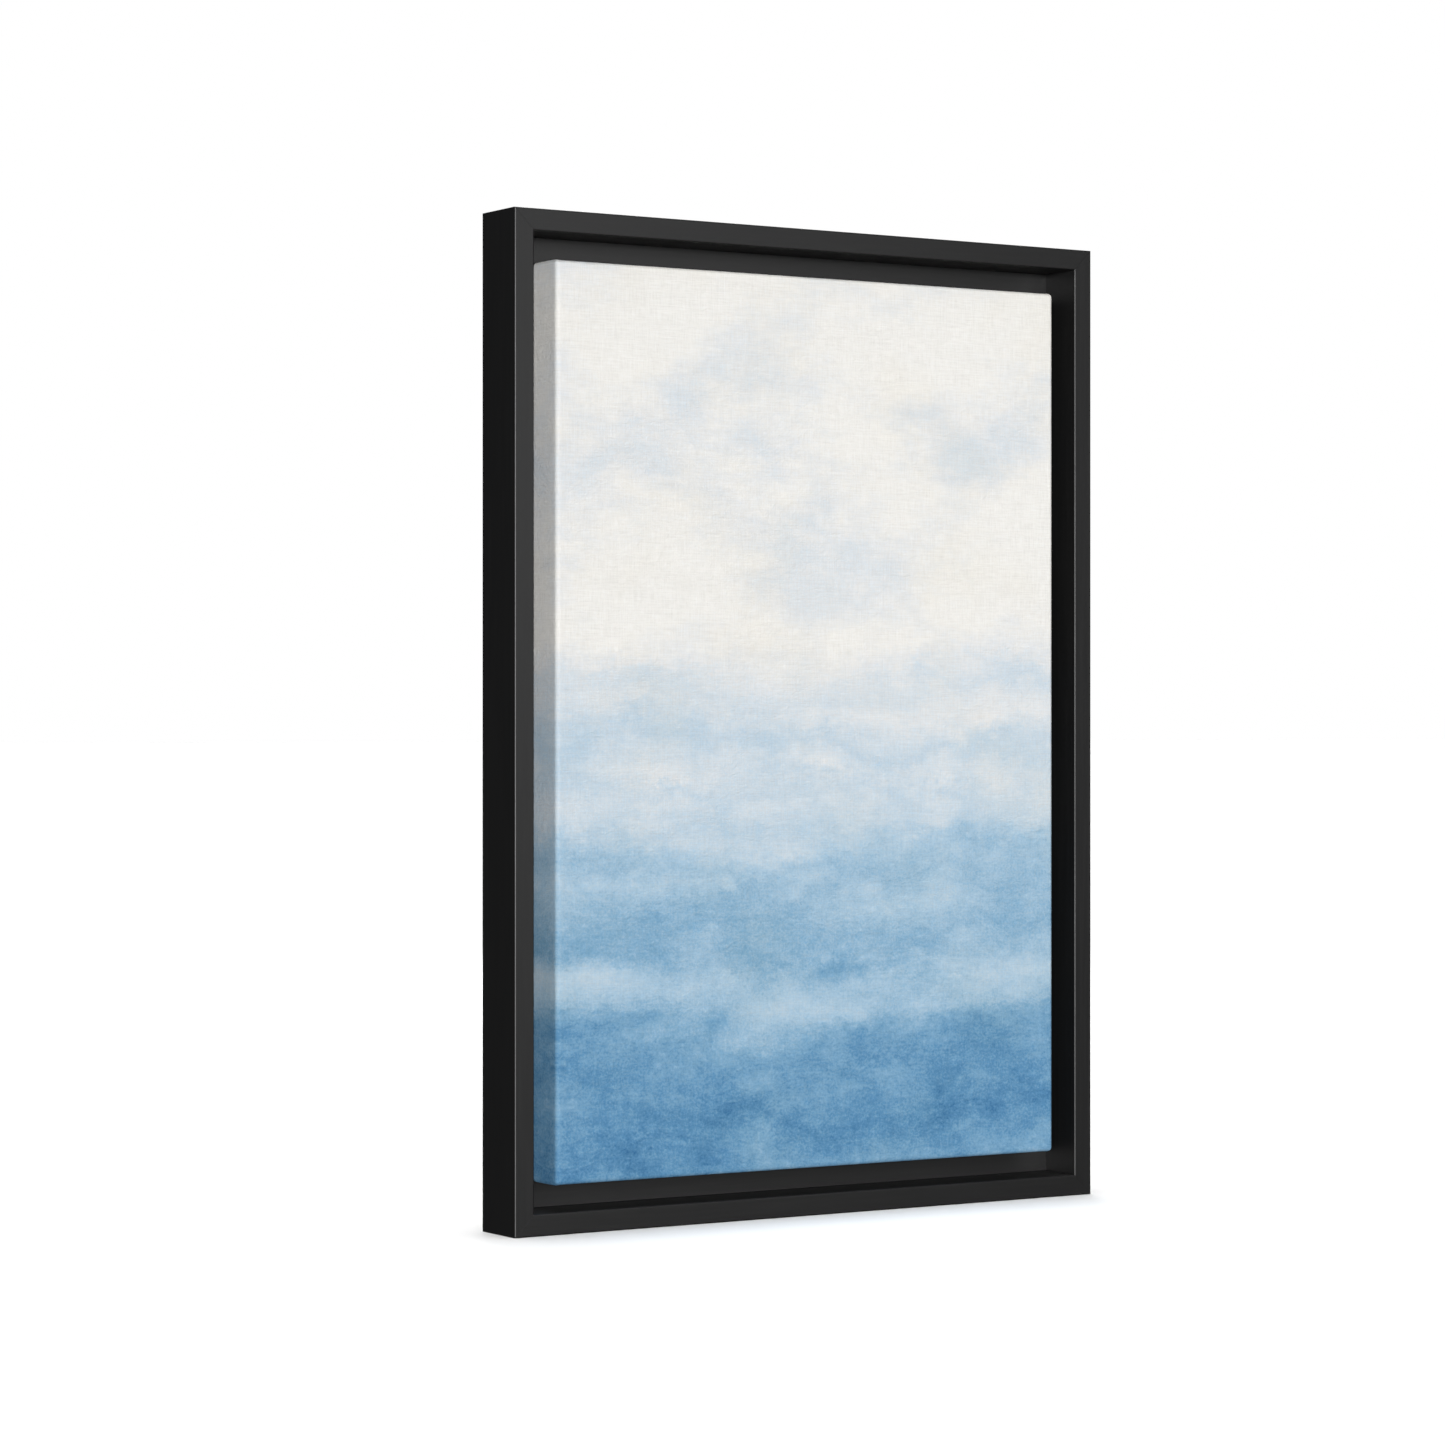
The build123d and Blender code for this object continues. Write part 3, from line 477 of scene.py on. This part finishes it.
# ------------------------------------------------------------------ the canvas cloth
def canvas_cloth():
    nx, nz = ((136, 204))
    m = 6
    inset0 = 0.012
    th = np.radians(np.linspace(0, 90, 7))
    prof = [(inset0, Y_FACE), (0.009, Y_FACE), (0.0065, Y_FACE), (0.005, Y_FACE), (0.004, Y_FACE)]
    prof += [(EDGE_R * (1 - math.sin(a)), Y_FACE + EDGE_R * (1 - math.cos(a))) for a in th]
    for y in np.linspace(Y_FACE + EDGE_R, Y_FOLD - BACK_R, 13)[1:]:
        prof.append((0.0, y))
    for a in np.radians([22.5, 45, 67.5, 90]):
        prof.append((BACK_R * (1 - math.cos(a)), Y_FOLD - BACK_R + BACK_R * math.sin(a)))
    for i in np.concatenate([np.linspace(BACK_R, 0.0175, 8)[1:], np.linspace(0.0175, FOLD_W, 14)[1:]]):
        prof.append((float(i), Y_FOLD))
    arc = [0.0]
    for (i0, y0), (i1, y1) in zip(prof, prof[1:]):
        arc.append(arc[-1] + math.hypot(i1 - i0, y1 - y0))

    # long and short sides' staple places, as the frame has them
    pitch_long, pitch_short = 0.062, 0.056
    rng_edge = rng.normal(0, 1, 4096)

    def wobble(seed, x, length):
        """Smooth repeatable noise along an edge."""
        g = x / length + seed * 13.37
        i = math.floor(g)
        f = g - i
        f = f * f * (3 - 2 * f)
        return rng_edge[i % 4096] * (1 - f) + rng_edge[(i + 1) % 4096] * f

    def smooth(a, b, x):
        q = min(1.0, max(0.0, (x - a) / (b - a)))
        return q * q * (3 - 2 * q)

    bm = bmesh.new()
    uv_sheet = bm.loops.layers.uv.new("sheet")
    uv_paint = bm.loops.layers.uv.new("paint")

    def corner_loop(k):
        """Points of one ring: for each the position, its side (0 bottom, 1 right, 2 top, 3 left), and how far along."""
        inset, y = prof[k]
        a, b = HALF_W - inset, HALF_H - inset
        r = max(CORNER_R - inset, 0.0)
        pts = []
        corners = [(-1, -1), (1, -1), (1, 1), (-1, 1)]
        starts = [180, 270, 0, 90]
        straight = [(nx, (-1, -1), (1, -1)), (nz, (1, -1), (1, 1)), (nx, (1, 1), (-1, 1)), (nz, (-1, 1), (-1, -1))]
        for side in range(4):
            cx, cz = corners[side]
            # arc round the corner that starts this side
            for j in range(m + 1):
                t = math.radians(starts[side] + 90 * j / m)
                px = cx * (a - r) + r * math.cos(t)
                pz = cz * (b - r) + r * math.sin(t)
                pts.append((px, pz, side if j >= m / 2 else (side - 1) % 4, j, True))
            count, p0, p1 = straight[side]
            q0 = np.array([p0[0] * (a - r), p0[1] * b]) if side in (0, 2) else np.array([p0[0] * a, p0[1] * (b - r)])
            q1 = np.array([p1[0] * (a - r), p1[1] * b]) if side in (0, 2) else np.array([p1[0] * a, p1[1] * (b - r)])
            for i in range(1, count):
                q = q0 + (q1 - q0) * i / count
                pts.append((q[0], q[1], side, i, False))
        return pts

    def shaped(px, pz, y, inset, side, j, corner, k):
        """Where the cloth really lies: puckers between staples, double layers at the folded corners."""
        out = Vector((0, 0, 0))
        outward = [Vector((0, 0, -1)), Vector((1, 0, 0)), Vector((0, 0, 1)), Vector((-1, 0, 0))][side]
        along = px if side in (0, 2) else pz
        half = HALF_W if side in (0, 2) else HALF_H
        to_corner = half - abs(along)
        d = y - Y_FACE
        on_side = inset == 0.0
        on_fold = y >= Y_FOLD - 1e-9 and inset >= BACK_R
        if on_side and side in (0, 2):
            # the corner's spare cloth is tucked under, so a flap lies over it up to a slanting crease
            lift = smooth(-0.0006, 0.0006, d * 1.02 - to_corner) * smooth(0.0015, 0.006, d)
            out += outward * 0.00065 * lift
        if on_side:
            ripple = wobble(side * 3 + 1, along, 0.021) * 0.00006 * smooth(0.004, 0.02, d)
            out += outward * (abs(ripple))
        if on_fold:
            pitch = pitch_short if side in (0, 2) else pitch_long
            phase = (along / pitch - (0.5 if side in (0, 2) else 0.0)) % 1.0
            gap = min(phase, 1 - phase) * pitch      # distance to the nearest staple
            free = smooth(0.0185, 0.027, inset)
            raised = smooth(0.006, 0.022, gap) * (0.00042 + 0.0002 * abs(wobble(side * 5 + 2, along, 0.017)))
            near_corner = to_corner < 0.052
            if near_corner:
                # the last flap down lies over the other one, pressed flat by the corner staple
                press = smooth(0.0, 0.008, abs(to_corner - 0.0245) + abs(inset - 0.0245))
                if side in (0, 2):
                    raised = 0.0007 * press * smooth(0.0, 0.004, 0.046 - to_corner) + 0.0001
                else:
                    raised = 0.0001
            curl = smooth(0.0275, 0.030, inset) * 0.00025 * (1 + 0.6 * wobble(side + 9, along, 0.013))
            out += Vector((0, 1, 0)) * (free * raised + max(curl, 0) * free)
            # cut edge wanders a little
            if inset > 0.026:
                w = wobble(side + 20, along, 0.03) * 0.0004 * (inset - 0.026) / 0.004
                out -= outward * w * (0 if corner else 1)
        return Vector((px, y, MID_Z + pz)) + out

    rings = []
    total = 4 * (m + 1) + 2 * (nx - 1) + 2 * (nz - 1)
    meta = []
    for k, (inset, y) in enumerate(prof):
        pts = corner_loop(k)
        assert len(pts) == total
        ring = []
        for px, pz, side, j, corner in pts:
            ring.append(bm.verts.new(shaped(px, pz, y, inset, side, j, corner, k)))
        rings.append(ring)
        meta.append(pts)

    def flat_uv(side, px, pz, k):
        """Place on the flat cut sheet, measured from its middle."""
        reach = arc[k]
        if side in (0, 2):
            t = (HALF_H - inset0 + reach) * (-1 if side == 0 else 1)
            return px, t
        return (HALF_W - inset0 + reach) * (-1 if side == 3 else 1), pz

    def fold_back(s, half):
        return math.copysign(half - abs(half - abs(s)), s)

    for k in range(len(prof) - 1):
        for i in range(total):
            j = (i + 1) % total
            quad = [rings[k][i], rings[k][j], rings[k + 1][j], rings[k + 1][i]]
            src = [(k, i), (k, j), (k + 1, j), (k + 1, i)]
            side = meta[k][i][2] if not meta[k][i][4] or meta[k][i][3] >= m / 2 else meta[k][i][2]
            try:
                f = bm.faces.new(quad)
            except ValueError:
                continue
            for loop, (kk, ii) in zip(f.loops, src):
                px, pz = meta[kk][ii][0], meta[kk][ii][1]
                s, t = flat_uv(side, px, pz, kk)
                loop[uv_sheet].uv = (s, t)
                loop[uv_paint].uv = (fold_back(s, HALF_W), fold_back(t, HALF_H))
    # the flat face inside the first ring
    a, b = HALF_W - inset0, HALF_H - inset0
    grid = {}
    first = meta[0]
    for idx, (px, pz, side, j, corner) in enumerate(first):
        gi = round((px + a) / (2 * a) * nx)
        gj = round((pz + b) / (2 * b) * nz)
        grid.setdefault((gi, gj), rings[0][idx])
    for gi in range(nx + 1):
        for gj in range(nz + 1):
            if (gi, gj) not in grid:
                px, pz = -a + 2 * a * gi / nx, -b + 2 * b * gj / nz
                grid[gi, gj] = bm.verts.new((px, Y_FACE, MID_Z + pz))
    for gi in range(nx):
        for gj in range(nz):
            f = bm.faces.new([grid[gi, gj], grid[gi + 1, gj], grid[gi + 1, gj + 1], grid[gi, gj + 1]])
            for loop in f.loops:
                co = loop.vert.co
                loop[uv_sheet].uv = (co.x, co.z - MID_Z)
                loop[uv_paint].uv = (co.x, co.z - MID_Z)
    bmesh.ops.remove_doubles(bm, verts=bm.verts, dist=1e-6)
    bmesh.ops.dissolve_degenerate(bm, edges=bm.edges, dist=1e-7)
    # face winding outward: the painted face looks along -Y
    bm.normal_update()
    bmesh.ops.recalc_face_normals(bm, faces=bm.faces)
    bm.faces.ensure_lookup_table()
    middle = min(bm.faces, key=lambda f: (f.calc_center_median() - Vector((0, Y_FACE, MID_Z))).length)
    if middle.normal.y > 0:
        bmesh.ops.reverse_faces(bm, faces=bm.faces)
    for f in bm.faces:
        f.smooth = True
    mesh = bpy.data.meshes.new("canvas")
    bm.to_mesh(mesh)
    bm.free()
    ob = bpy.data.objects.new("painted_canvas", mesh)
    collection.objects.link(ob)
    mesh.materials.append(painted_cloth())
    mesh.materials.append(raw_cloth())
    sol = ob.modifiers.new("thickness", "SOLIDIFY")
    sol.thickness = CLOTH_T
    sol.offset = -1.0
    sol.use_even_offset = False
    sol.use_rim = True
    sol.material_offset = 1
    sol.material_offset_rim = 1
    dg = bpy.context.evaluated_depsgraph_get()
    solid = bpy.data.meshes.new_from_object(ob.evaluated_get(dg), preserve_all_data_layers=True, depsgraph=dg)
    ob.modifiers.clear()
    ob.data = solid
    for p in solid.polygons:
        p.use_smooth = True
    return ob


# ------------------------------------------------------------------ loose threads on the cut edge
def fray():
    bm = bmesh.new()
    a, b = HALF_W - FOLD_W, HALF_H - FOLD_W
    sides = [((-a, -b), (a, -b), (0, 1)), ((a, -b), (a, b), (-1, 0)), ((a, b), (-a, b), (0, -1)), ((-a, b), (-a, -b), (1, 0))]
    for (x0, z0), (x1, z1), (ix, iz) in sides:
        length = math.hypot(x1 - x0, z1 - z0)
        q = 0.006
        while q < length - 0.006:
            q += random.uniform(0.0012, 0.0075)
            f = q / length
            if f > 0.985:
                break
            run = random.uniform(0.0012, 0.0034) if random.random() < 0.85 else random.uniform(0.004, 0.0072)
            side_step = random.uniform(-0.5, 0.5)
            bend = random.uniform(-0.6, 0.6)
            sx, sz = x0 + (x1 - x0) * f, z0 + (z1 - z0) * f
            tx, tz = (x1 - x0) / length, (z1 - z0) / length
            pts = []
            for i in range(6):
                g = i / 5
                d = -0.0008 + (run + 0.0008) * g
                off = run * (side_step * g + bend * g * g)
                y = Y_FOLD - 0.00022 + 0.00045 * math.sin(g * 2.6) * random.uniform(0.5, 1.2)
                pts.append(Vector((sx + ix * d + tx * off, y, MID_Z + sz + iz * d + tz * off)))
            r = random.uniform(0.00010, 0.00016)
            rings = []
            for i, p in enumerate(pts):
                d = (pts[min(i + 1, 5)] - pts[max(i - 1, 0)]).normalized()
                u = d.cross(Vector((0, 1, 0))).normalized()
                w = u.cross(d)
                rr = r * (1 - 0.45 * i / 5)
                rings.append([bm.verts.new(p + u * rr * math.cos(t) + w * rr * math.sin(t)) for t in (0, 1.2566, 2.5133, 3.7699, 5.0265)])
            for r0, r1 in zip(rings, rings[1:]):
                for i in range(5):
                    bm.faces.new([r0[i], r0[(i + 1) % 5], r1[(i + 1) % 5], r1[i]])
            bm.faces.new(rings[0][::-1])
            bm.faces.new(rings[-1])
    bmesh.ops.recalc_face_normals(bm, faces=bm.faces)
    for f in bm.faces:
        f.smooth = True
    mesh = bpy.data.meshes.new("fray")
    bm.to_mesh(mesh)
    bm.free()
    ob = bpy.data.objects.new("frayed_threads", mesh)
    mesh.materials.append(thread_mat())
    collection.objects.link(ob)
    return ob


cloth = canvas_cloth()
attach(cloth, "framed_canvas")
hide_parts("canvas_cloth")
threads = fray()
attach(threads, "framed_canvas")

# ------------------------------------------------------------------ materials on the carried-over parts
pine_light, pine_dark, pine_late = srgb(232, 206, 160), srgb(218, 186, 136), srgb(176, 126, 72)
beech_light, beech_dark, beech_late = srgb(222, 186, 142), srgb(204, 164, 118), srgb(168, 120, 78)
painted_x, painted_z = black_paint("satin_black_x", "x"), black_paint("satin_black_z", "z")
staple_metal = metal("galvanised_wire", (0.66, 0.66, 0.64), (0.36, 0.35, 0.33), 0.40)
screw_metal = metal("zinc_plate", (0.76, 0.70, 0.52), (0.44, 0.38, 0.25), 0.36, (300.0, 300.0, 300.0))
nickel = metal("nickel_plate", (0.80, 0.78, 0.73), (0.50, 0.47, 0.41), 0.33, (240.0, 240.0, 240.0), 0.16)
finishes = {
    "frame_rail_top": painted_x,
    "frame_rail_bottom": painted_x,
    "frame_rail_left": painted_z,
    "frame_rail_right": painted_z,
    "stretcher_bar_top": bare_wood("pine_top", "x", pine_light, pine_dark, pine_late, centre=(0.02, 0, -0.60)),
    "stretcher_bar_bottom": bare_wood("pine_bottom", "x", pine_light, pine_dark, pine_late, centre=(0.045, 0, -0.09)),
    "stretcher_bar_left": bare_wood("pine_left", "z", pine_light, pine_dark, pine_late, centre=(0.03, 0, 0.145)),
    "stretcher_bar_right": bare_wood("pine_right", "z", pine_light, pine_dark, pine_late, centre=(0.05, 0, -0.15)),
    "stretcher_keys": bare_wood("beech_keys", "x", beech_light, beech_dark, beech_late, ring=0.0016, centre=(0.02, 0, 0.3), knots=False),
    "canvas_staples": staple_metal,
    "frame_v_nails": metal("v_nail_steel", (0.42, 0.42, 0.43), (0.18, 0.17, 0.16), 0.38),
    "mounting_screws": screw_metal,
    "hanger_screws_left": screw_metal,
    "hanger_screws_right": screw_metal,
    "hanger_strap_left": nickel,
    "hanger_strap_right": nickel,
    "hanger_ring_left": nickel,
    "hanger_ring_right": nickel,
    "wall_bumper_left": rubber("clear_rubber"),
    "wall_bumper_right": rubber("clear_rubber_2"),
}
for name, mat in finishes.items():
    ob = bpy.data.objects[name]
    if not ob.material_slots:
        ob.data.materials.append(mat)
    for s in ob.material_slots:
        s.link = "OBJECT"
        s.material = mat

# ------------------------------------------------------------------ floor
bm = bmesh.new()
size = 60.0
for x, y in ((-size, -size), (size, -size), (size, size), (-size, size)):
    bm.verts.new((x, y, 0.0))
bm.verts.ensure_lookup_table()
bm.faces.new(bm.verts)
floor_mesh = bpy.data.meshes.new("floor")
bm.to_mesh(floor_mesh)
bm.free()
floor = bpy.data.objects.new("floor", floor_mesh)
collection.objects.link(floor)
fn = Nodes("pale_floor")
fn.set(Base_Color=(0.93, 0.93, 0.93), Roughness=0.9)
fn.bsdf.inputs["Specular IOR Level"].default_value = 0.0
floor_mesh.materials.append(fn.mat)
floor.visible_diffuse = False
floor.visible_glossy = False

# ------------------------------------------------------------------ light
def sun(name, azimuth, elevation, strength, angle, colour=(1, 1, 1)):
    """A soft distant light that comes from the given azimuth (0 is the front, 90 the right) and elevation."""
    data = bpy.data.lights.new(name, "SUN")
    data.energy = strength
    data.angle = math.radians(angle)
    data.color = colour
    ob = bpy.data.objects.new(name, data)
    collection.objects.link(ob)
    a, e = math.radians(azimuth), math.radians(elevation)
    d = Vector((math.sin(a) * math.cos(e), -math.cos(a) * math.cos(e), math.sin(e)))
    ob.rotation_euler = (-d).to_track_quat("-Z", "Y").to_euler()
    return ob


def softbox(name, azimuth, elevation, distance, size, energy):
    data = bpy.data.lights.new(name, "AREA")
    data.shape = "DISK"
    data.size = size
    data.energy = energy
    ob = bpy.data.objects.new(name, data)
    collection.objects.link(ob)
    a, e = math.radians(azimuth), math.radians(elevation)
    d = Vector((math.sin(a) * math.cos(e), -math.cos(a) * math.cos(e), math.sin(e)))
    ob.location = Vector((0, 0, MID_Z)) + d * distance
    ob.rotation_euler = (-d).to_track_quat("-Z", "Y").to_euler()
    return ob


sun("key", -28.5, 3.5, 2.66, 5)
# a low strip, no taller than the frame, that only shows as the soft line along rounded edges
edge_light = softbox("edge", -42, 0, 3.0, 2.2, 48)
edge_light.data.shape = "RECTANGLE"
edge_light.data.size_y = 0.64
edge_light.visible_diffuse = False
sun("overhead", 0, 90, 3.0, 14)
sun("back", 150, 9, 1.5, 22)
softbox("sheen", 17, 9, 3.2, 1.7, 15)
softbox("back_box", 163, 20, 3.0, 1.8, 26)

world = bpy.data.worlds.new("studio")
bpy.context.scene.world = world
world.use_nodes = True
wt = world.node_tree
wt.nodes.clear()
wo = wt.nodes.new("ShaderNodeOutputWorld")
seen = wt.nodes.new("ShaderNodeBackground")
seen.inputs[0].default_value = (1, 1, 1, 1)
seen.inputs[1].default_value = 1.0
fill = wt.nodes.new("ShaderNodeBackground")
fill.inputs[0].default_value = (0.97, 0.985, 1, 1)
fill.inputs[1].default_value = 0.042
lp = wt.nodes.new("ShaderNodeLightPath")
mx = wt.nodes.new("ShaderNodeMixShader")
wt.links.new(lp.outputs["Is Camera Ray"], mx.inputs[0])
wt.links.new(fill.outputs[0], mx.inputs[1])
wt.links.new(seen.outputs[0], mx.inputs[2])
wt.links.new(mx.outputs[0], wo.inputs[0])
bpy.context.scene.view_settings.view_transform = "Standard"

# ------------------------------------------------------------------ camera
cam = bpy.data.cameras.new("camera")
cam.lens = 101.706
cam.sensor_width = 36.0
cam.clip_start = 0.05
cam.clip_end = 200.0
camera = bpy.data.objects.new("camera", cam)
collection.objects.link(camera)
camera.location = (-1.5450, -2.3585, 0.3378)
look = Vector((math.sin(math.radians(32.196)), math.cos(math.radians(32.196)), 0))
camera.rotation_euler = look.to_track_quat("-Z", "Y").to_euler()
bpy.context.scene.camera = camera
